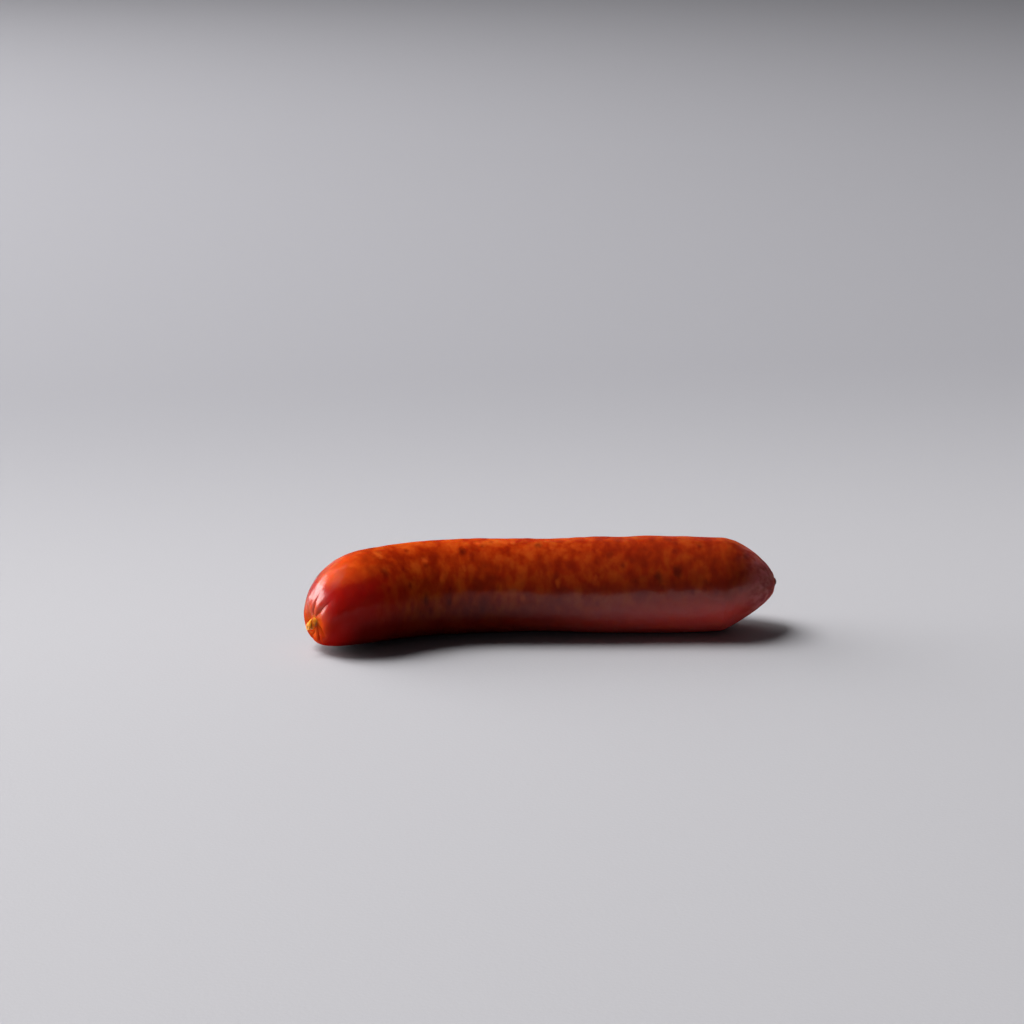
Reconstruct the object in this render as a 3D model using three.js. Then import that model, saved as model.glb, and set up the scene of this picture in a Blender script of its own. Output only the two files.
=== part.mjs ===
// A smoked pepperoni link in a natural casing, lying on its underside.
// Millimetres, +Z up. X runs along the link from its blunt end to its pointed end, and the middle
// of the link bows towards +Y. The origin is on the resting surface, under the middle of the box.
import * as THREE from "three";

// Driving dimensions, in millimetres unless the name or note says otherwise.
const linkLength = 154.9; // in a straight line from one end of the spine to the other
const radius = 15.65;
const spineHeight = 15.3; // under the radius, so that the underside lies on a narrow flat strip
const bluntHeading = 27; // degrees that the spine turns from X at the blunt end
const pointedHeading = -8.5; // degrees, at the pointed end
const bluntReach = 0.32; // share of the length over which the blunt end's heading holds
const pointedReach = 0.76;
const linkSides = 48;
const barrelSteps = 26; // rings along the straight part
const capSteps = 16; // rings over each rounded end

// Each end: `length` is how far its rounding reaches along the spine, and the two exponents set
// how square it is along and across. `neck` is the radius of the flat spot where the casing is
// twisted shut, and `pole` is how far that stands off the spine, as [across, up]. Half way along
// the rounding, the link is lifted off the spine by `hump`. The neck is `sunk` in a dimple `bowl`
// wide. Round it the casing is gathered in `count` folds, `depth` deep, which fade out `reach`
// from it.
const bluntEnd = {
  length: 23.6,
  squareAlong: 2.4,
  squareAcross: 1.9,
  neck: 1.5,
  pole: [-0.4, -5.9],
  hump: 0,
  sunk: 1.5,
  bowl: 3.4,
  folds: { count: 7, depth: 1.0, reach: 11, phase: 3.3 },
};
const pointedEnd = {
  length: 18.6,
  squareAlong: 1.46,
  squareAcross: 1.34,
  neck: 1.8,
  pole: [2.2, -0.5],
  hump: 1.0,
  sunk: 0.4,
  bowl: 1.2,
  folds: { count: 8, depth: 0.35, reach: 13, phase: 3.4 },
};

// The link swells gently where the filling is packed unevenly: each wave is a `share` of the
// radius, repeats over 2 pi times its `pitch` along the spine, and goes round `turns` times.
const swells = [
  { share: 0.0146, pitch: 22, turns: 0, phase: -3.25 },
  { share: 0.004, pitch: 5.3, turns: 0, phase: 2 },
  { share: 0.019, pitch: 11, turns: -2, phase: -0.28 },
];

// The casing left beyond each neck, twisted into a short stub that droops as it dries.
const bluntTwist = {
  name: "casing_twist_blunt_end",
  length: 3.6,
  neck: 1.4,
  waist: 1.1,
  tip: 1.3,
  droop: 45, // degrees that it turns down
  bendShare: 0.45, // share of its length over which it does so
  turn: 0.7, // whole turns of the twist
};
const pointedTwist = {
  name: "casing_twist_pointed_end",
  length: 0.7,
  neck: 1.7,
  waist: 1.6,
  tip: 1.3,
  droop: 12,
  bendShare: 1,
  turn: 0.25,
};
const twistSides = 18;
const twistSteps = 12;
const twistLobes = 3;
const lobeDepth = 0.16; // share of the twist's radius
const seatGap = 0.05; // between a neck and the twist that stands on it

const casingMaterial = (name, color, roughness) =>
  new THREE.MeshStandardMaterial({ name, color, roughness, metalness: 0 });
const smokedCasing = casingMaterial("smoked_casing", "#a5320c", 0.3);
const driedCasing = casingMaterial("dried_casing", "#c9761f", 0.4);
const darkCasing = casingMaterial("dark_casing", "#6f2d18", 0.45);

const toRadians = THREE.MathUtils.degToRad;
const ease = THREE.MathUtils.smoothstep; // of a value, between the two limits after it
const up = new THREE.Vector3(0, 0, 1);

// The spine lies level, as a cubic curve whose ends point along the two headings.
function makeSpine() {
  const half = linkLength / 2;
  const lean = (heading, reach) => {
    const angle = toRadians(heading);
    return new THREE.Vector3(Math.cos(angle), Math.sin(angle), 0).setLength(reach * linkLength);
  };
  const start = new THREE.Vector3(-half, 0, spineHeight);
  const finish = new THREE.Vector3(half, 0, spineHeight);
  const afterStart = start.clone().add(lean(bluntHeading, bluntReach));
  const beforeFinish = finish.clone().sub(lean(pointedHeading, pointedReach));
  const curve = new THREE.CubicBezierCurve3(start, afterStart, beforeFinish, finish);
  curve.arcLengthDivisions = 400;
  return curve;
}
const spine = makeSpine();
const spineLength = spine.getLength();

// The spine's direction at distance s along it.
const heading = (s) => spine.getTangentAt(THREE.MathUtils.clamp(s / spineLength, 0, 1));

// A point at distance s along the spine, `across` to its left and `rise` above it.
function besideSpine(s, across, rise) {
  const point = spine.getPointAt(THREE.MathUtils.clamp(s / spineLength, 0, 1));
  const left = up.clone().cross(heading(s));
  return point.addScaledVector(left, across).addScaledVector(up, rise);
}

// Rings over one end, from its neck to the barrel: the radius, the distance along the spine from
// the outermost point, and the distance over the skin from the neck.
function endRings(end) {
  const rings = [{ r: 0, along: end.sunk, skin: 0 }];
  for (let step = 0; step <= capSteps; step++) {
    const swing = (step / capSteps) * (Math.PI / 2);
    const r = end.neck + (radius - end.neck) * Math.sin(swing) ** (2 / end.squareAcross);
    const dimple = end.sunk * Math.exp(-(((r - end.neck) / end.bowl) ** 2));
    const along = end.length * (1 - Math.cos(swing) ** (2 / end.squareAlong)) + dimple;
    const last = rings[rings.length - 1];
    const skin = step === 0 ? 0 : last.skin + Math.hypot(r - last.r, along - last.along);
    rings.push({ r, along, skin });
  }
  return rings;
}

// How deep a fold is at one place: sharp valleys between round ridges, unevenly spaced and
// deepest at the angle `phase`, with none at the neck and none beyond their reach.
function foldDepth({ count, depth, reach, phase }, angle, skin) {
  const drift = 0.2 * Math.sin(2 * angle + phase) + 0.12 * Math.sin(3 * angle + 2 * phase);
  const ridge = Math.abs(Math.sin((count / 2) * (angle + drift))) ** 0.7;
  const unevenDepth = 0.5 + 0.5 * Math.cos(angle - phase);
  const unevenReach = reach * (0.8 + 0.2 * Math.sin(2 * angle - phase));
  const fade = ease(skin, 0, 0.25 * reach) * (1 - ease(skin, 0.3 * reach, unevenReach));
  return depth * unevenDepth * (1 - ridge) * fade;
}

// The swells at one place, added up as a factor on the radius.
function swelling(s, angle) {
  const wave = ({ share, pitch, turns, phase }) => share * Math.sin(s / pitch + turns * angle + phase);
  return swells.reduce((factor, swell) => factor + wave(swell), 1);
}

// Every ring of the link in order, those of the two ends with the end that shapes them.
function linkRings() {
  const blunt = endRings(bluntEnd).map((ring) => ({ ...ring, end: bluntEnd, s: ring.along }));
  const pointed = endRings(pointedEnd).map((ring) => {
    return { ...ring, end: pointedEnd, s: spineLength - ring.along };
  });
  const from = bluntEnd.length;
  const to = spineLength - pointedEnd.length;
  const barrel = [];
  for (let step = 1; step < barrelSteps; step++) {
    barrel.push({ r: radius, s: from + ((to - from) * step) / barrelSteps });
  }
  return [...blunt, ...barrel, ...pointed.reverse()];
}

// How far an end's rings stand off the spine: all of `pole` at the outermost point, `hump` half
// way along, and nothing where the end meets the barrel.
function poleShift(end, along) {
  const share = Math.min(along / end.length, 1);
  const [across, rise] = end.pole.map((offset) => offset * (1 - share) ** 3);
  return [across, rise + end.hump * Math.sin(Math.PI * share)];
}

// A LatheGeometry of the profile, with each vertex then moved to where `place` puts it.
function reshapedLathe(profile, sides, place) {
  const geometry = new THREE.LatheGeometry(profile, sides);
  const position = geometry.attributes.position;
  for (let index = 0; index < position.count; index++) {
    const side = Math.floor(index / profile.length) % sides;
    const point = place(index % profile.length, (side / sides) * 2 * Math.PI);
    position.setXYZ(index, point.x, point.y, point.z);
  }
  geometry.computeVertexNormals();
  return geometry;
}

function makeLink() {
  const rings = linkRings();
  const profile = rings.map(({ r, s }) => new THREE.Vector2(r, s));
  const place = (index, angle) => {
    const { r, s, end, along, skin } = rings[index];
    const before = rings[Math.max(index - 1, 0)];
    const after = rings[Math.min(index + 1, rings.length - 1)];
    const outward = new THREE.Vector2(after.s - before.s, before.r - after.r).normalize();
    const fold = end && r > 0 ? foldDepth(end.folds, angle, skin) : 0;
    const [shiftAcross, shiftUp] = end ? poleShift(end, along) : [0, 0];
    const reach = r * swelling(s, angle) - fold * outward.x;
    const across = shiftAcross + reach * Math.cos(angle);
    const rise = shiftUp + reach * Math.sin(angle);
    const point = besideSpine(s - fold * outward.y, across, rise);
    point.z = Math.max(point.z, 0); // the underside rests flat
    return point;
  };
  const link = new THREE.Mesh(reshapedLathe(profile, linkSides, place), smokedCasing);
  link.name = "sausage_link";
  return link;
}

// A stub along its own +Z, bent down towards -Y and then straight: a lobed section that turns as
// it goes, pinched at the waist and spread again at the cut tip.
function makeTwist({ name, length, neck, waist, tip, droop, bendShare, turn }, material) {
  const bend = toRadians(droop);
  const bendRadius = (bendShare * length) / bend;
  const profile = [new THREE.Vector2(0, 0)];
  for (let step = 0; step <= twistSteps; step++) {
    const share = step / twistSteps;
    const ends = THREE.MathUtils.lerp(neck, tip, share);
    const r = THREE.MathUtils.lerp(ends, waist, Math.sin(Math.PI * share));
    profile.push(new THREE.Vector2(r, share * length));
  }
  profile.push(new THREE.Vector2(0, length));
  const place = (index, angle) => {
    const share = profile[index].y / length;
    const lean = bend * Math.min(share / bendShare, 1);
    const straight = length * Math.max(share - bendShare, 0);
    const lobeAngle = twistLobes * (angle + 2 * Math.PI * turn * share);
    const r = profile[index].x * (1 + lobeDepth * ease(share, 0, 0.2) * Math.cos(lobeAngle));
    const offset = r * Math.sin(angle);
    return new THREE.Vector3(
      r * Math.cos(angle),
      offset * Math.cos(lean) - bendRadius * (1 - Math.cos(lean)) - straight * Math.sin(bend),
      offset * Math.sin(lean) + bendRadius * Math.sin(lean) + straight * Math.cos(bend),
    );
  };
  const twist = new THREE.Mesh(reshapedLathe(profile, twistSides, place), material);
  twist.name = name;
  return twist;
}

// Stands a twist on an end's neck: `outwards` is -1 where the spine starts and 1 where it ends.
function seatTwist(twist, end, outwards) {
  const s = outwards > 0 ? spineLength - end.sunk : end.sunk;
  const outward = heading(s).multiplyScalar(outwards);
  const sideways = up.clone().cross(outward);
  const [shiftAcross, shiftUp] = poleShift(end, end.sunk);
  twist.quaternion.setFromRotationMatrix(new THREE.Matrix4().makeBasis(sideways, up, outward));
  twist.position.copy(besideSpine(s, shiftAcross, shiftUp)).addScaledVector(outward, seatGap);
  return twist;
}

const pepperoni = new THREE.Group();
pepperoni.name = "pepperoni";
pepperoni.add(
  makeLink(),
  seatTwist(makeTwist(bluntTwist, driedCasing), bluntEnd, -1),
  seatTwist(makeTwist(pointedTwist, darkCasing), pointedEnd, 1),
);

// The origin goes under the middle of the box.
const box = new THREE.Box3().setFromObject(pepperoni, true);
const middle = box.getCenter(new THREE.Vector3());
pepperoni.position.set(-middle.x, -middle.y, -box.min.z);

export default pepperoni;
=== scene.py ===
# A smoked pepperoni link: the taut casing with its gathered ends, and the dried twist on each.
import math
import bpy
import numpy as np
from mathutils import Matrix, Vector


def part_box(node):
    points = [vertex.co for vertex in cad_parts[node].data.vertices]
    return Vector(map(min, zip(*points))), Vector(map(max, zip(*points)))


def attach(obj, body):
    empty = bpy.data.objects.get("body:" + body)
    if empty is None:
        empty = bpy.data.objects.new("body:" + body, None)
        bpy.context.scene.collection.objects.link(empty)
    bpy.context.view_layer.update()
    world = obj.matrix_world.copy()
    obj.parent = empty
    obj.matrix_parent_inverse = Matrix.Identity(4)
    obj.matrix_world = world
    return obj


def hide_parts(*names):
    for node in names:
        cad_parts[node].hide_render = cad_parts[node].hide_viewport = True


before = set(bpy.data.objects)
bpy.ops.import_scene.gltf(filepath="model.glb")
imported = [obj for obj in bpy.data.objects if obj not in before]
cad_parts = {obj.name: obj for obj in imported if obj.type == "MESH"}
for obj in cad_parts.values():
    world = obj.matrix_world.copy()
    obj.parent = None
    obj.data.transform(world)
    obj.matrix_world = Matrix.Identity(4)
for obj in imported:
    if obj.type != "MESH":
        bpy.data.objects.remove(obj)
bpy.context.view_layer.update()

mm = 0.001
fullTurn = 2 * math.pi
upwards = np.array([0.0, 0.0, 1.0])


# smooth step: 3t^2 - 2t^3, where t runs from 0 at start to 1 at stop and stays there
def ease(value, start, stop):
    t = np.clip((value - start) / (stop - start), 0, 1)
    return t * t * (3 - 2 * t)


# sum of cosines along random directions, each about one wavelength long, scaled to about -1..1
def swellings(points, wavelength, seed, waves=16):
    rng = np.random.default_rng(seed)
    directions = rng.normal(size=(waves, 3))
    directions /= np.linalg.norm(directions, axis=1, keepdims=True)
    lengths = wavelength * rng.uniform(0.7, 1.5, waves)
    phases = rng.uniform(0, fullTurn, waves)
    return np.cos(fullTurn * points @ (directions.T / lengths) + phases).sum(-1) / math.sqrt(2 * waves)


# quads between the rows of grid[row, side], which wraps round its sides, and a fan of triangles
# over the first and the last row; the sides run anticlockwise seen from the last row, so that
# every face points outwards
def closedSurface(name, grid, attributes):
    rows, sides = grid.shape[:2]
    firstPole, lastPole = rows * sides, rows * sides + 1
    points = np.vstack([grid.reshape(-1, 3), grid[0].mean(0), grid[-1].mean(0)])
    here = np.arange(rows * sides).reshape(rows, sides)
    beside = np.roll(here, -1, axis=1)
    quads = np.stack([here[:-1], beside[:-1], beside[1:], here[1:]], -1).reshape(-1, 4)
    startFan = np.stack([np.full(sides, firstPole), beside[0], here[0]], -1)
    endFan = np.stack([np.full(sides, lastPole), here[-1], beside[-1]], -1)
    mesh = bpy.data.meshes.new(name)
    mesh.from_pydata(points * mm, [], quads.tolist() + startFan.tolist() + endFan.tolist())
    mesh.polygons.foreach_set("use_smooth", np.ones(len(mesh.polygons), bool))
    for label, values in attributes.items():
        flat = np.broadcast_to(values, (rows, sides) + values.shape[2:]).reshape(rows * sides, -1)
        flat = np.vstack([flat, flat[:sides].mean(0), flat[-sides:].mean(0)]).astype(np.float32)
        isVector = flat.shape[1] == 3
        layer = mesh.attributes.new(label, "FLOAT_VECTOR" if isVector else "FLOAT", "POINT")
        layer.data.foreach_set("vector" if isVector else "value", flat.ravel())
    mesh.update()
    piece = bpy.data.objects.new(name, mesh)
    bpy.context.scene.collection.objects.link(piece)
    return piece


spineShape = {  # mm and degrees
    "chord": 154.9,
    "height": 15.3,
    "bluntHeading": 27,
    "pointedHeading": -8.5,
    "bluntReach": 0.32,  # shares of the chord
    "pointedReach": 0.76,
    "steps": 4000,
}


# cubic curve between the two ends of the chord, each handle a share of the chord along that end's
# heading; the distance along it is summed from short steps
def makeSpine(shape):
    half = shape["chord"] / 2
    ends = np.array([[-half, 0.0], [half, 0.0]])
    lean = np.radians([shape["bluntHeading"], shape["pointedHeading"]])
    reach = np.array([shape["bluntReach"], -shape["pointedReach"]]) * shape["chord"]
    handles = ends + reach[:, None] * np.stack([np.cos(lean), np.sin(lean)], -1)
    t = np.linspace(0, 1, shape["steps"] + 1)[:, None]
    route = (1 - t) ** 3 * ends[0] + 3 * (1 - t) ** 2 * t * handles[0]
    route = route + 3 * (1 - t) * t ** 2 * handles[1] + t ** 3 * ends[1]
    steps = np.linalg.norm(np.diff(route, axis=0), axis=1)
    return {
        "route": route,
        "travelled": np.concatenate([[0], np.cumsum(steps)]),
        "length": steps.sum(),
        "height": shape["height"],
    }


# the spine's point at distance s along it, read off its short steps
def spinePoint(s):
    x = np.interp(s, spine["travelled"], spine["route"][:, 0])
    y = np.interp(s, spine["travelled"], spine["route"][:, 1])
    return np.stack([x, y, np.full(x.shape, float(spine["height"]))], -1)


# the spine's heading at s, from the points a little before and after it, and its left-hand side
def spineSides(s):
    reach = 0.2  # mm
    inside = np.clip(s, reach, spine["length"] - reach)
    heading = spinePoint(inside + reach) - spinePoint(inside - reach)
    heading /= np.linalg.norm(heading, axis=-1, keepdims=True)
    return heading, np.cross(upwards, heading)


spine = makeSpine(spineShape)

linkShape = {  # mm, and radians for the phases; a pole is left of the spine and above it
    "radius": 15.65,  # of the barrel
    "sides": 240,
    "barrelRings": 160,
    "capRings": 116,
    "neckRings": 8,
    "relief": [  # height, wavelength, seed
        [0.14, 15, 3],
        [0.05, 4.2, 8],
    ],
    "swells": [  # share of the radius, pitch along, turns round, phase
        [0.0146, 22, 0, -3.25],
        [0.004, 5.3, 0, 2],
        [0.019, 11, -2, -0.28],
    ],
    "blunt": {
        "length": 23.6, "squareAlong": 2.4, "squareAcross": 1.9, "neck": 1.5,
        "pole": [-0.4, -5.9], "hump": 0, "sunk": 1.5, "bowl": 3.4, "collar": 0.6, "swirl": 0.6,
        "folds": {"count": 7, "depth": 1.0, "reach": 11, "phase": 3.3},
        "pleats": {"count": 19, "depth": 0.2, "reach": 6, "phase": 3.6},
    },
    "pointed": {
        "length": 18.6, "squareAlong": 1.46, "squareAcross": 1.34, "neck": 1.8,
        "pole": [2.2, -0.5], "hump": 1.0, "sunk": 0.4, "bowl": 1.2, "collar": 0.3, "swirl": 0.3,
        "folds": {"count": 8, "depth": 0.35, "reach": 13, "phase": 3.4},
        "pleats": {"count": 23, "depth": 0.2, "reach": 11, "phase": 3.0},
    },
}


# radius = neck + (barrel - neck) sin^(2/squareAcross), along = length (1 - cos^(2/squareAlong)),
# plus a bell-shaped dimple round the neck and a small collar where the twist leaves it; inner rings
# close the neck under the twist
def endRings(end):
    swing = np.linspace(0, math.pi / 2, linkShape["capRings"])
    r = end["neck"] + (linkShape["radius"] - end["neck"]) * np.sin(swing) ** (2 / end["squareAcross"])
    along = end["length"] * (1 - np.cos(swing) ** (2 / end["squareAlong"]))
    inner = np.linspace(0.08, 1, linkShape["neckRings"], endpoint=False) * end["neck"]
    r, along = np.concatenate([inner, r]), np.concatenate([0 * inner, along])
    along = along + end["sunk"] * np.exp(-(np.maximum(r - end["neck"], 0) / end["bowl"]) ** 2)
    along = along - end["collar"] * np.exp(-(r / (0.9 * end["neck"])) ** 2)
    skin = np.concatenate([[0], np.cumsum(np.hypot(np.diff(r), np.diff(along)))])
    return r, along, skin - skin[linkShape["neckRings"]]


# sharp valleys between round ridges: 1 - |sin(count/2 (angle + drift))|^0.7, deepest at the
# phase, rising from the neck and fading out at its reach
def gather(folds, angle, skin):
    phase, reach = folds["phase"], folds["reach"]
    drift = 0.2 * np.sin(2 * angle + phase) + 0.12 * np.sin(3 * angle + 2 * phase)
    ridge = np.abs(np.sin(folds["count"] / 2 * (angle + drift))) ** 0.7
    unevenDepth = 0.5 + 0.5 * np.cos(angle - phase)
    unevenReach = reach * (0.8 + 0.2 * np.sin(2 * angle - phase))
    fade = ease(skin, 0, 0.25 * reach) * (1 - ease(skin, 0.3 * reach, unevenReach))
    return folds["depth"] * unevenDepth * (1 - ridge) * fade


# how far an end's rings stand off the spine: all of its pole at the outermost point, its hump half
# way along the rounding, and nothing where the end meets the barrel
def poleShift(end, along):
    share = np.clip(along / end["length"], 0, 1)
    across, rise = (offset * (1 - share) ** 3 for offset in end["pole"])
    return across, rise + end["hump"] * np.sin(math.pi * share)


# the rings from neck to neck: distance along the spine and radius, which are the profile above at
# each end and straight between, and the distance over the skin from each neck, carried on straight
# along the barrel
def linkRings(blunt, pointed):
    bluntR, bluntAlong, bluntSkin = endRings(blunt)
    pointedR, pointedAlong, pointedSkin = endRings(pointed)
    barrelFrom, barrelTo = blunt["length"], spine["length"] - pointed["length"]
    barrel = np.linspace(barrelFrom, barrelTo, linkShape["barrelRings"] + 2)[1:-1]
    s = np.concatenate([bluntAlong, barrel, spine["length"] - pointedAlong[::-1]])
    r = np.concatenate([bluntR, np.full(len(barrel), linkShape["radius"]), pointedR[::-1]])
    toBlunt = bluntSkin[-1] + s - barrelFrom
    toBlunt[:len(bluntSkin)] = bluntSkin
    toPointed = pointedSkin[-1] + barrelTo - s
    toPointed[-len(pointedSkin):] = pointedSkin[::-1]
    return s, r, toBlunt, toPointed


# how far the skin stands out: lumps and dents, left out round the necks and underneath, less the
# folds and pleats, which turn a little about the neck because the casing was twisted shut
def skinRelief(straight, angle, toBlunt, toPointed):
    relief = sum(height * swellings(straight, wavelength, seed)
                 for height, wavelength, seed in linkShape["relief"])
    relief = relief * ease(np.minimum(toBlunt, toPointed), 1, 8) * (1 - ease(-np.sin(angle), 0.5, 0.9))
    for end, skin in ((linkShape["blunt"], toBlunt), (linkShape["pointed"], toPointed)):
        turned = angle + end["swirl"] * np.exp(-np.maximum(skin, 0) / 4)
        relief = relief - gather(end["folds"], turned, skin) - gather(end["pleats"], turned, skin)
    return relief


# rings carried along the spine: each radius is swollen by a few long waves, each point is moved
# along its own normal by the relief, and the underside rests flat at height 0
def makeLink():
    blunt, pointed = linkShape["blunt"], linkShape["pointed"]
    s, r, toBlunt, toPointed = linkRings(blunt, pointed)
    normal = np.stack([np.gradient(s), -np.gradient(r)], -1)
    normal /= np.linalg.norm(normal, axis=1, keepdims=True)
    normalAcross, normalAlong = normal[:, :1], normal[:, 1:]
    s, r, toBlunt, toPointed = (column[:, None] for column in (s, r, toBlunt, toPointed))
    angle = np.linspace(0, fullTurn, linkShape["sides"], endpoint=False)[None, :]
    straight = np.stack(np.broadcast_arrays(s, r * np.cos(angle), r * np.sin(angle)), -1)
    stand = skinRelief(straight, angle, toBlunt, toPointed)
    swell = 1 + sum(share * np.sin(s / pitch + turns * angle + phase)
                    for share, pitch, turns, phase in linkShape["swells"])
    reach = r * swell + stand * normalAcross
    place = s + stand * normalAlong
    bluntShift, pointedShift = poleShift(blunt, s), poleShift(pointed, spine["length"] - s)
    across = bluntShift[0] + pointedShift[0] + reach * np.cos(angle)
    height = bluntShift[1] + pointedShift[1] + reach * np.sin(angle)
    left = spineSides(place)[1]
    grid = spinePoint(place) + left * across[..., None] + upwards * height[..., None]
    grid[..., 2] = np.maximum(grid[..., 2], 0)
    piece = closedSurface("link_casing", grid, {
        "straight": straight * mm,  # along, back and up on the link laid out straight
        "bluntDistance": toBlunt * mm,
        "pointedDistance": toPointed * mm,
    })
    return piece, grid


print("making the link")
linkPiece, linkGrid = makeLink()

# the spine's own coordinates start at the middle of its chord: move to the box of the CAD link
cadLow, cadHigh = (np.array(corner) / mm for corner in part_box("sausage_link"))
toFrame = (cadLow + cadHigh) / 2 - (linkGrid.min((0, 1)) + linkGrid.max((0, 1))) / 2
toFrame[2] = cadLow[2]
linkPiece.data.transform(Matrix.Translation(Vector(toFrame * mm)))

bothTwists = {
    "rows": 90, "sides": 120,
    "stations": ["neck", "waist", "bulge", "tip"],
    "places": [0, 0.3, 0.72, 1],  # shares of the twist's length
    "unevenness": [[0.10, 2.2], [0.05, 0.8]],  # share of the radius, wavelength in mm
}
bluntTwist = {  # mm and degrees
    "name": "twist_blunt_end",
    "length": 3.6, "neck": 1.6, "waist": 1.15, "bulge": 1.35, "tip": 1.0, "closing": 0.25,
    "droop": 45, "bendShare": 0.45, "turns": 0.5,
    "lobes": 3, "lobeDepth": 0.14, "ridges": 11, "ridgeDepth": 0.05,
    "raggedness": 0.5, "seed": 21,
}
pointedTwist = {
    "name": "twist_pointed_end",
    "length": 0.7, "neck": 1.8, "waist": 1.75, "bulge": 1.6, "tip": 1.3, "closing": 0.8,
    "droop": 25, "bendShare": 1, "turns": 0.25,
    "lobes": 5, "lobeDepth": 0.12, "ridges": 13, "ridgeDepth": 0.05,
    "raggedness": 0.1, "seed": 5,
}


# neck, waist, bulge and tip joined by slopes and closed as a quarter round over the last share of
# the length, times a section of lobes, fine ridges and unevenness that turns as it goes
def twistSection(shape, u, angle, unrolled):
    stations = [shape[name] for name in bothTwists["stations"]]
    closing = np.sqrt(np.clip((1 - u) / shape["closing"], 0.02, 1))
    slope = np.interp(u, bothTwists["places"], stations) * closing
    turned = angle + fullTurn * shape["turns"] * u
    groove = 1 - np.abs(np.sin(shape["lobes"] / 2 * turned)) ** 0.8
    ridge = np.abs(np.sin(shape["ridges"] / 2 * turned + 2 * np.sin(turned)))
    lobed = 1 - shape["lobeDepth"] * groove * ease(u, 0, 0.15) + shape["ridgeDepth"] * ridge
    uneven = sum(share * swellings(unrolled, wavelength, shape["seed"] + k)
                 for k, (share, wavelength) in enumerate(bothTwists["unevenness"]))
    return slope * (lobed + uneven * ease(u, 0, 0.3)), groove


# a twist's middle line, with the ways forward, sideways and up on it: an arc that droops from the
# neck over the bend's share of the length, then straight on, its end ragged round the section
def twistRoute(shape, end, outwards, u, angle):
    s = np.array(end["sunk"] if outwards < 0 else spine["length"] - end["sunk"])
    heading, left = spineSides(s)
    shiftAcross, shiftUp = poleShift(end, end["sunk"])
    neck = spinePoint(s) + left * shiftAcross + upwards * shiftUp
    outward = heading * outwards
    bend = math.radians(shape["droop"])
    bendRadius = shape["bendShare"] * shape["length"] / bend
    lean = bend * np.minimum(u / shape["bendShare"], 1)[..., None]
    arc = bendRadius * (outward * np.sin(lean) - upwards * (1 - np.cos(lean)))
    forward = outward * np.cos(lean) - upwards * np.sin(lean)
    raised = upwards * np.cos(lean) + outward * np.sin(lean)
    beyond = shape["length"] * np.maximum(u - shape["bendShare"], 0)
    ragged = (0.5 * np.sin(2 * angle + 1) + 0.3 * np.sin(5 * angle)) * ease(u, 0.6, 1)
    along = beyond + shape["raggedness"] * ragged
    return neck + arc + forward * along[..., None], np.cross(upwards, outward), raised


# the section carried along the route; outwards is -1 at the blunt end and 1 at the pointed one
def makeTwist(shape, end, outwards):
    u = np.linspace(0, 1, bothTwists["rows"])[:, None]
    angle = np.linspace(0, fullTurn, bothTwists["sides"], endpoint=False)[None, :]
    unrolled = np.stack(np.broadcast_arrays(u * shape["length"], np.cos(angle), np.sin(angle)), -1)
    radius, groove = twistSection(shape, u, angle, unrolled)
    middle, sideways, raised = twistRoute(shape, end, outwards, u, angle)
    grid = middle + sideways * (radius * np.cos(angle))[..., None]
    grid = grid + raised * (radius * np.sin(angle))[..., None]
    return closedSurface(shape["name"], grid + toFrame, {
        "straight": unrolled * [1, shape["bulge"], shape["bulge"]] * mm,
        "groove": groove,
        "tipward": u,
    })


print("making the twists")
bluntPiece = makeTwist(bluntTwist, linkShape["blunt"], -1)
pointedPiece = makeTwist(pointedTwist, linkShape["pointed"], 1)


# one output of a node, or an empty tree to start from: sums, differences and products of values
# add Math nodes, and every other node comes from the method "node"
class Signal:
    def __init__(self, tree, socket=None):
        self.tree, self.socket = tree, socket

    # settings first, then each input as a plain value or a link, then the output that is wanted
    def node(self, kind, settings, inputs, output=0):
        added = self.tree.nodes.new(kind)
        for name, value in settings.items():
            if name == "stops":
                while len(added.color_ramp.elements) < len(value):
                    added.color_ramp.elements.new(1)
                for stop, (place, colour) in zip(added.color_ramp.elements, value):
                    stop.position, stop.color = place, colour
            else:
                setattr(added, name, value)
        for name, value in inputs.items():
            if isinstance(value, Signal):
                self.tree.links.new(value.socket, added.inputs[name])
            else:
                added.inputs[name].default_value = value
        return Signal(self.tree, added.outputs[output] if len(added.outputs) else None)

    # one Math node on two values or signals
    def maths(self, operation, first, second):
        return self.node("ShaderNodeMath", {"operation": operation}, {0: first, 1: second})

    def __add__(self, other):
        return self.maths("ADD", self, other)

    def __sub__(self, other):
        return self.maths("SUBTRACT", self, other)

    def __rsub__(self, other):
        return self.maths("SUBTRACT", other, self)

    def __mul__(self, other):
        return self.maths("MULTIPLY", self, other)

    __radd__ = __add__
    __rmul__ = __mul__


# a hex colour as linear red, green, blue and alpha
def tint(code):
    levels = [int(code[k:k + 2], 16) / 255 for k in (1, 3, 5)]
    return tuple(v / 12.92 if v <= 0.04045 else ((v + 0.055) / 1.055) ** 2.4 for v in levels) + (1.0,)


# an empty material, and its tree to start from
def newMaterial(name):
    material = bpy.data.materials.new(name)
    material.use_nodes = True
    material.node_tree.nodes.clear()
    return material, Signal(material.node_tree)


# first and second colours mixed by a factor from 0 to 1
def blend(factor, first, second, mode="MIX"):
    settings = {"data_type": "RGBA", "blend_type": mode, "clamp_factor": True}
    return factor.node("ShaderNodeMix", settings, {0: factor, 6: first, 7: second}, 2)


# a colour under a tint: its hex colour, and its strength where the factor is 1
def tinted(colour, factor, cover):
    code, strength = cover
    return blend(factor * strength, colour, tint(code))


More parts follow.
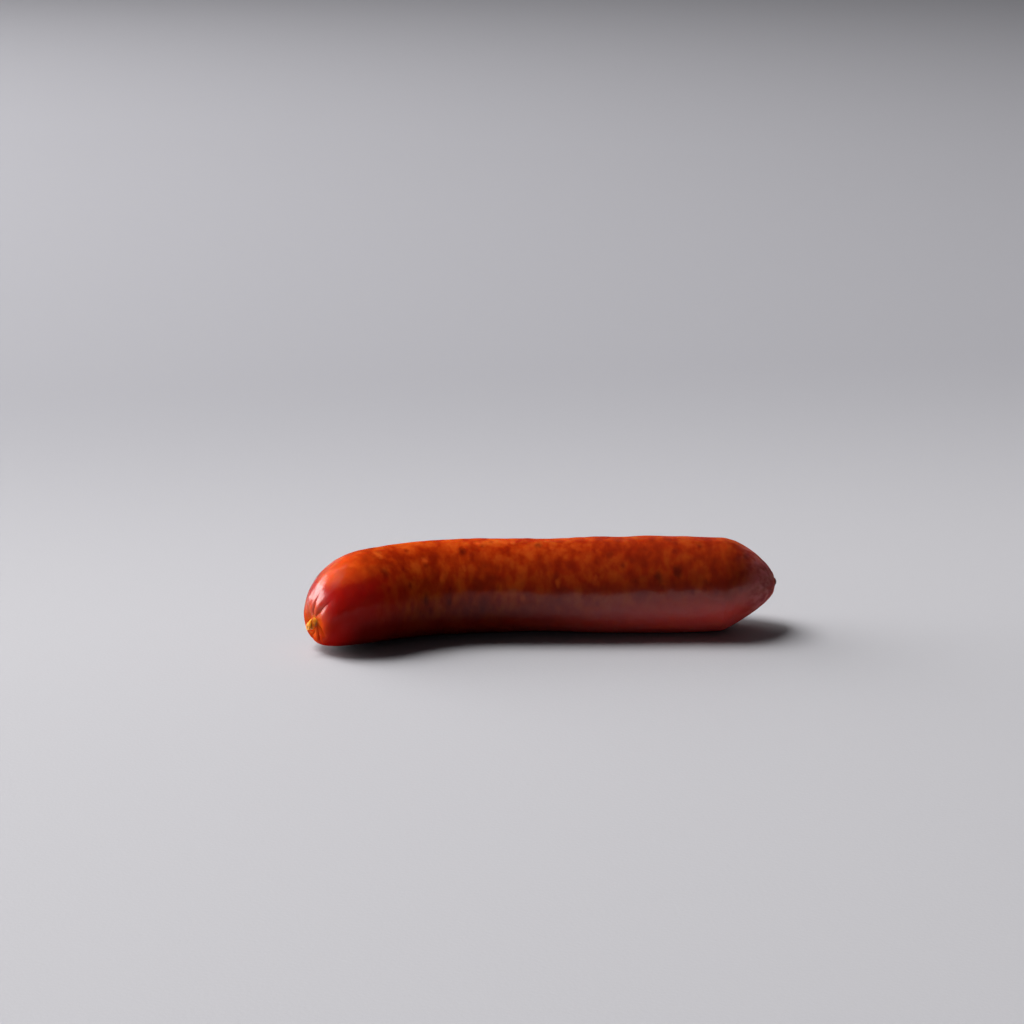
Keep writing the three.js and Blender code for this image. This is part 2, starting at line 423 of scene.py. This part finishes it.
# smoothly from bottom to top as the value goes from low to high
def between(value, low, high, bottom=0.0, top=1.0):
    inputs = {"Value": value, "From Min": low, "From Max": high, "To Min": bottom, "To Max": top}
    return value.node("ShaderNodeMapRange", {"interpolation_type": "SMOOTHSTEP"}, inputs)


# smoothly from bottom to top as a length goes over a span, given in mm
def over(length, span, bottom=0.0, top=1.0):
    return between(length, span[0] * mm, span[1] * mm, bottom, top)


# the three coordinates of a vector
def coordinates(vector):
    return [vector.node("ShaderNodeSeparateXYZ", {}, {"Vector": vector}, axis) for axis in "XYZ"]


# what the mesh carries under that name, as one value or as a vector
def attribute(tree, name, output="Fac"):
    return tree.node("ShaderNodeAttribute", {"attribute_name": name}, {}, output)


# vector times scale, plus offset
def stretched(vector, scale, offset=(0, 0, 0)):
    return vector.node("ShaderNodeMapping", {}, {"Vector": vector, "Scale": scale, "Location": offset})


# soft noise whose features are about one wavelength across, in mm
def noise(vector, wavelength, detail=2, roughness=0.5):
    inputs = {"Vector": vector, "Scale": 1 / (wavelength * mm), "Detail": detail, "Roughness": roughness}
    return vector.node("ShaderNodeTexNoise", {}, inputs)


# a length with soft waves added to it, their size and height in mm
def wavering(length, vector, waves, detail):
    size, height = waves
    return length + noise(vector, size, detail) * (height * mm)


# soft round specks, one in each cell of a Voronoi pattern whose cells are about one spacing across,
# in mm: a share of them is kept, picked by the cell's own random colour, and each fades out between
# two distances from its middle, as shares of a cell, with an edge made uneven by noise
def scattered(vector, speck):
    inputs = {"Vector": vector, "Scale": 1 / (speck["spacing"] * mm)}
    away = vector.node("ShaderNodeTexVoronoi", {}, inputs, "Distance")
    away = away + (noise(vector, 0.2 * speck["spacing"], 2) - 0.5) * 0.25
    pick = vector.node("ShaderNodeTexVoronoi", {}, inputs, "Color")
    pick = pick.node("ShaderNodeSeparateColor", {}, {"Color": pick}, 0)
    dropped = 1 - speck["kept"]
    kept = between(pick, dropped - 0.05, dropped + 0.05)
    return (1 - between(away, *speck["fade"])) * kept


# the normal of a surface that is raised by height times distance, in mm
def bump(height, distance):
    return height.node("ShaderNodeBump", {}, {"Height": height, "Distance": distance * mm})


# a principled surface; what is the same all over is a plain value among the sockets
def finishMaterial(tree, sockets):
    surface = tree.node("ShaderNodeBsdfPrincipled", {}, sockets)
    tree.node("ShaderNodeOutputMaterial", {}, {"Surface": surface})


casingLooks = {
    "lean": "#861e06", "meat": "#a02e08", "fat": "#b84812",
    "patchSize": 11, "grainSize": 4.2,  # mm
    # a cover is a colour and its strength; spacing in mm, fade in shares of a cell, offset in metres
    "specks": {
        "fleck": {
            "cover": ("#cc521a", 0.65), "kept": 0.65,
            "spacing": 9.5, "fade": (0.02, 0.22), "offset": (0, 0, 0),
        },
        "mark": {
            "cover": ("#680a08", 0.65), "kept": 0.45,
            "spacing": 6, "fade": (0.02, 0.34), "offset": (0.07, 0.03, 0.05),
        },
        "peppery": {
            "cover": ("#430c06", 0.7), "kept": 0.5,
            "spacing": 11, "fade": (0.02, 0.28), "offset": (0.03, 0.01, 0.02),
        },
    },
    # three more covers, and colours with their strengths beside them
    # the second cover below is painted light: a more orange top on the blunt end
    "smoky": ("#621408", 0.42), "paintedTopLight": ("#dc4c10", 0.55), "gathered": ("#cc5512", 0.7),
    # painted shade: a deep red for the shaded front of the blunt end, strong in front and weak at the
    # back
    "shadeRed": "#b00d0a", "redStrength": (0.93, 0.3),  # in front and at the back
    # painted shade underneath the blunt end, and a painted floor reflection underneath the pointed end
    "bluntUndersideShade": "#4c0807", "pointedUndersideReflection": "#cc443e", "bellyStrength": 0.88,
    # the smoked pointed end: pale streaks that are partly its own dusty bloom and partly painted sheen
    # on its wrinkles
    "smokedDeep": "#863433", "smokedBloomAndSheen": "#bc6665", "smokedStrength": 0.85,
    # multiplied over the back, which faces the lamps: painted shade that tones down their light
    "backShade": "#a89e98",
    # mm from the blunt end along the link
    "smokyAlong": (60, 150), "greasyAlong": (40, 130),
    # mm over the skin from the neck of that end
    "redReach": (16, 42), "topLightReach": (16, 30), "wetReach": (14, 28), "bellyReach": (5, 20),
    "bluntRim": (0.5, 8.5), "pointedRim": (9, 24),
    # mm above the middle line, and behind it
    "redHeight": (8, 13), "topLightHeight": (9, 12), "wetHeight": (0, 7), "bellyHeight": (-6, 7),
    "redBack": (2, 11), "shadedBack": (-1, 11),
    # mm: the size and height of the waves in those borders
    "bellyWaves": (12, 2.5), "greaseWaves": (20, 30), "rimWaveHeight": 6,
    # grease from the blunt end to the pointed one, what is left of it edge on, what the pointed rim
    # takes away, and the wet smears
    "grease": (0.06, 0.45), "edgeOnGrease": 0.15, "rimDrying": 0.75, "wetness": 0.9,
    "roughness": (0.3, 0.4), "rimRoughness": 0.1,
    "dullSize": 8, "smearSize": 3.5, "wrinkleSize": 2.4, "streakSize": 3, "poreSize": 0.7,  # mm
    "reliefDepth": 0.12,  # mm
}


# the filling through the casing: a ramp of lean, meat and fat over soft clouds of two sizes, then
# flecks of fat, dark red marks of lean and a few dark peppery spots, each kind laid out elsewhere
def meatColour(looks, straight):
    wrapped = stretched(straight, (1.4, 1, 1))  # features are longer round the link than along it
    patches = noise(wrapped, looks["patchSize"], 1)
    grains = noise(wrapped, looks["grainSize"], 3, 0.45)
    cloud = between(patches * 0.45 + grains * 0.55, 0.32, 0.7)
    stops = [(0, tint(looks["lean"])), (0.45, tint(looks["meat"])), (1, tint(looks["fat"]))]
    colour = cloud.node("ShaderNodeValToRGB", {"stops": stops}, {"Fac": cloud})
    masks = {}
    for kind, speck in looks["specks"].items():
        masks[kind] = scattered(stretched(wrapped, (1, 1, 1), speck["offset"]), speck)
        colour = tinted(colour, masks[kind], speck["cover"])
    return colour, patches, masks["fleck"]


# the meat with one tint after another mixed over it, each by its own factor: a product of smooth
# steps along the link, up it, towards its back or from a neck
def casingMaterial(looks):
    material, tree = newMaterial("smoked_casing")
    straight = attribute(tree, "straight", "Vector")
    bluntDistance = attribute(tree, "bluntDistance")
    pointedDistance = attribute(tree, "pointedDistance")
    along, back, height = coordinates(straight)
    colour, patches, fleck = meatColour(looks, straight)
    # smokier towards the pointed end
    toPointed = over(along, looks["smokyAlong"])
    colour = tinted(colour, toPointed, looks["smoky"])
    # painted shade: deep red on the front of the blunt end below its top, less so on its back, which
    # faces the lamps; painted light: a more orange top
    paintedShadeRed = (1 - over(bluntDistance, looks["redReach"])) * (1 - over(height, looks["redHeight"]))
    paintedShadeRed = paintedShadeRed * over(back, looks["redBack"], *looks["redStrength"])
    colour = blend(paintedShadeRed, colour, tint(looks["shadeRed"]))
    # painted light: the top of the blunt end more orange, as if lit from above
    paintedTopLight = (1 - over(bluntDistance, looks["topLightReach"])) * over(height, looks["topLightHeight"])
    colour = tinted(colour, paintedTopLight, looks["paintedTopLight"])
    # the side that it lies on, up to a soft uneven line: painted shade underneath the blunt end and a
    # painted floor reflection underneath the pointed end; and a back darkened by painted shade
    paintedUnderside = 1 - over(wavering(height, straight, looks["bellyWaves"], 3), looks["bellyHeight"])
    paintedUnderside = paintedUnderside * over(bluntDistance, looks["bellyReach"], 0, looks["bellyStrength"])
    undersideShadeAndReflection = blend(toPointed, tint(looks["bluntUndersideShade"]), tint(looks["pointedUndersideReflection"]))
    colour = blend(paintedUnderside, colour, undersideShadeAndReflection)
    # painted shade: the back, which faces the lamps, darkened
    colour = blend(over(back, looks["shadedBack"]), colour, tint(looks["backShade"]), "MULTIPLY")
    # the thin, empty casing near each neck; at the pointed neck, pale streaks that are partly its own
    # dusty bloom and partly painted sheen on its wrinkles
    bluntRim = 1 - over(bluntDistance, looks["bluntRim"])
    colour = tinted(colour, bluntRim, looks["gathered"])
    rimDistance = pointedDistance + patches * (looks["rimWaveHeight"] * mm)
    pointedRim = 1 - over(rimDistance, looks["pointedRim"])
    streak = noise(stretched(straight, (0.3, 1, 1)), looks["streakSize"], 2)
    smoked = blend(between(streak, 0.35, 0.65), tint(looks["smokedDeep"]), tint(looks["smokedBloomAndSheen"]))
    colour = blend(pointedRim * looks["smokedStrength"], colour, smoked)
    dull = between(noise(straight, looks["dullSize"], 3), 0.3, 0.7, *looks["roughness"])
    roughness = dull + bluntRim * looks["rimRoughness"]
    # greasier towards the pointed end and drier seen edge on, and wet on the upper part of the
    # blunt end, in smears
    greaseAlong = wavering(along, straight, looks["greaseWaves"], 2)
    grease = over(greaseAlong, looks["greasyAlong"], *looks["grease"])
    edgeOn = straight.node("ShaderNodeLayerWeight", {}, {"Blend": 0.5}, "Facing")
    grease = grease * between(edgeOn, 0.4, 0.85, 1, looks["edgeOnGrease"])
    grease = grease * (1 - pointedRim * looks["rimDrying"])
    smear = between(noise(straight, looks["smearSize"], 3), 0.35, 0.6, 0.4, 1)
    wet = (1 - over(bluntDistance, looks["wetReach"])) * over(height, looks["wetHeight"]) * smear
    grease = grease + wet * looks["wetness"]
    # fine wrinkles round the link, dry ones out of the pointed neck, and a finer grain of the skin
    wrinkle = noise(stretched(straight, (3.5, 1, 1)), looks["wrinkleSize"], 4, 0.6)
    skin = noise(straight, looks["poreSize"], 3, 0.6)
    relief = wrinkle + streak * pointedRim * 2.5 + skin * 0.25 - fleck * 0.35
    finishMaterial(tree, {
        "Base Color": colour, "Roughness": roughness, "Normal": bump(relief, looks["reliefDepth"]),
        "IOR": 1.4, "Specular IOR Level": 0.0,
        "Subsurface Weight": 0.8, "Subsurface Radius": (1.0, 0.13, 0.045), "Subsurface Scale": 3.5 * mm,
        "Coat Weight": grease, "Coat Roughness": 0.19, "Coat IOR": 1.8,
    })
    return material


bluntTwistLooks = {
    "name": "dried_casing", "pale": "#f0a62c", "deep": "#b4550f",
    "roughness": 0.36, "scatter": 1.5,  # mm
}
# darker than the blunt twist: painted shade, as that end lies away from the lamps
pointedTwistLooks = {
    "name": "dark_casing", "pale": "#8c4640", "deep": "#5c2823",
    "roughness": 0.5, "scatter": 1.2,
}


# pale on the outside and darker in the grooves, which is painted shade, with patches of its own tone and
# paler towards the tip: depth = 0.7 groove + 0.5 patch - 0.25 tipward
def twistMaterial(looks):
    material, tree = newMaterial(looks["name"])
    straight = attribute(tree, "straight", "Vector")
    patch = noise(straight, 1.4, 3)
    depth = attribute(tree, "groove") * 0.7 + patch * 0.5 - attribute(tree, "tipward") * 0.25
    # painted shade: the deep colour in the grooves
    colour = blend(between(depth, 0.15, 0.75), tint(looks["pale"]), tint(looks["deep"]))
    fibres = noise(stretched(straight, (0.35, 1, 1)), 0.4, 3)
    roughness = between(patch, 0.3, 0.7, looks["roughness"] - 0.08, looks["roughness"] + 0.1)
    finishMaterial(tree, {
        "Base Color": colour, "Roughness": roughness, "IOR": 1.46, "Normal": bump(fibres, 0.15),
        "Subsurface Weight": 0.7, "Subsurface Radius": (1.0, 0.55, 0.2),
        "Subsurface Scale": looks["scatter"] * mm,
        "Coat Weight": 0.15, "Coat Roughness": 0.2,
    })
    return material


print("finishing the surfaces")
for piece, material, node, slotName in (
    (linkPiece, casingMaterial(casingLooks), "sausage_link", "smoked_casing"),
    (bluntPiece, twistMaterial(bluntTwistLooks), "casing_twist_blunt_end", "dried_casing"),
    (pointedPiece, twistMaterial(pointedTwistLooks), "casing_twist_pointed_end", "dark_casing"),
):
    piece.data.materials.append(material)
    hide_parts(node)
    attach(piece, "root")

# the far colour is painted shade, for light falling off towards the back
floorLooks = {  # metres
    "size": 6, "near": "#b3b3b8", "far": "#9a9aa0", "fadeFrom": 0.0, "fadeTo": 0.4, "roughness": 0.7,
}


# one flat square at height 0, a little greyer towards the back: painted shade where the lamps' light
# falls off
def makeFloor(looks):
    half = looks["size"] / 2
    corners = [(-half, -half, 0), (half, -half, 0), (half, half, 0), (-half, half, 0)]
    mesh = bpy.data.meshes.new("floor")
    mesh.from_pydata(corners, [], [(0, 1, 2, 3)])
    floor = bpy.data.objects.new("floor", mesh)
    bpy.context.scene.collection.objects.link(floor)
    material, tree = newMaterial("pale_paper_floor")
    place = tree.node("ShaderNodeTexCoord", {}, {}, "Object")
    fade = between(coordinates(place)[1], looks["fadeFrom"], looks["fadeTo"])
    finishMaterial(tree, {
        "Base Color": blend(fade, tint(looks["near"]), tint(looks["far"])),
        "Roughness": looks["roughness"],
        "Normal": bump(noise(place, 1.1), 0.05),
    })
    floor.data.materials.append(material)


# metres from the middle of the link, and degrees anticlockwise from the pointed end and upwards;
# the brightness is that of the pane itself
warmWhite = (1.0, 0.985, 0.97)
lightPlaces = [
    {
        "name": "window", "azimuth": 146, "elevation": 12, "distance": 3.0,
        "width": 2.3, "height": 1.3, "brightness": 4.4, "mirrored": True,
    },
    {
        "name": "curtain", "azimuth": 152, "elevation": 38, "distance": 3.0,
        "width": 3.2, "height": 2.2, "brightness": 0.4, "mirrored": True,
    },
    {
        "name": "softbox", "azimuth": 140, "elevation": 20, "distance": 3.0,
        "width": 3.2, "height": 2.6, "brightness": 3.0, "mirrored": False,
    },
    {
        "name": "skylight", "azimuth": 148, "elevation": 60, "distance": 3.0,
        "width": 1.6, "height": 1.6, "brightness": 13.5, "mirrored": False,
    },
]


# a pane that faces the link; its power is its brightness times pi times its area, and one that is
# not mirrored lights the link without showing in its gloss
def makeLight(light):
    azimuth, elevation = math.radians(light["azimuth"]), math.radians(light["elevation"])
    level = math.cos(elevation)
    away = Vector((math.cos(azimuth) * level, math.sin(azimuth) * level, math.sin(elevation)))
    lamp = bpy.data.lights.new(light["name"], "AREA")
    lamp.shape, lamp.size, lamp.size_y = "RECTANGLE", light["width"], light["height"]
    lamp.energy = light["brightness"] * math.pi * light["width"] * light["height"]
    lamp.color = warmWhite
    pane = bpy.data.objects.new(light["name"], lamp)
    pane.location = away * light["distance"]
    pane.rotation_euler = away.to_track_quat("Z", "Y").to_euler()
    pane.visible_camera = False
    pane.visible_glossy = light["mirrored"]
    bpy.context.scene.collection.objects.link(pane)


roomLooks = {
    "dim": (0.025, 0.025, 0.027, 1), "pale": (0.3, 0.3, 0.31, 1),
    "wallFade": (-0.1, 0.5), "ceilingFade": (0.25, 0.55),
}


# a dim room whose far and left walls are pale up to the ceiling: a smooth step towards far left
# times a smooth step down, both from the direction that is looked in
def makeRoom(looks):
    world = bpy.data.worlds.new("room")
    world.use_nodes = True
    world.node_tree.nodes.clear()
    tree = Signal(world.node_tree)
    direction = tree.node("ShaderNodeTexCoord", {}, {}, "Generated")
    x, y, z = coordinates(direction)
    wall = between(y * 0.7 - x * 0.7, *looks["wallFade"]) * (1 - between(z, *looks["ceilingFade"]))
    colour = blend(wall, looks["dim"], looks["pale"])
    background = tree.node("ShaderNodeBackground", {}, {"Color": colour, "Strength": 1.0})
    tree.node("ShaderNodeOutputWorld", {}, {"Surface": background})
    bpy.context.scene.world = world


cameraPlace = {  # metres, and degrees to the right of the front and upwards
    "azimuth": -10.2, "elevation": 18, "distance": 0.8,
    "lens": 85, "sensor": 36,  # mm
    "aim": (-0.0094, 0, 0.0262),  # from the link's middle
}


# a camera at its distance from the link's middle, that way round and up, turned towards its aim
def makeCamera(place):
    azimuth, elevation = math.radians(place["azimuth"]), math.radians(place["elevation"])
    level = math.cos(elevation)
    away = Vector((math.sin(azimuth) * level, -math.cos(azimuth) * level, math.sin(elevation)))
    low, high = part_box("sausage_link")
    centre = (low + high) / 2
    lens = bpy.data.cameras.new("camera")
    lens.lens, lens.sensor_width = place["lens"], place["sensor"]
    camera = bpy.data.objects.new("camera", lens)
    camera.location = centre + away * place["distance"]
    sight = camera.location - (centre + Vector(place["aim"]))
    camera.rotation_euler = sight.to_track_quat("Z", "Y").to_euler()
    bpy.context.scene.collection.objects.link(camera)
    bpy.context.scene.camera = camera


print("setting the floor, light and camera")
makeFloor(floorLooks)
for lightPlace in lightPlaces:
    makeLight(lightPlace)
makeRoom(roomLooks)
makeCamera(cameraPlace)
bpy.context.scene.view_settings.view_transform = "Standard"
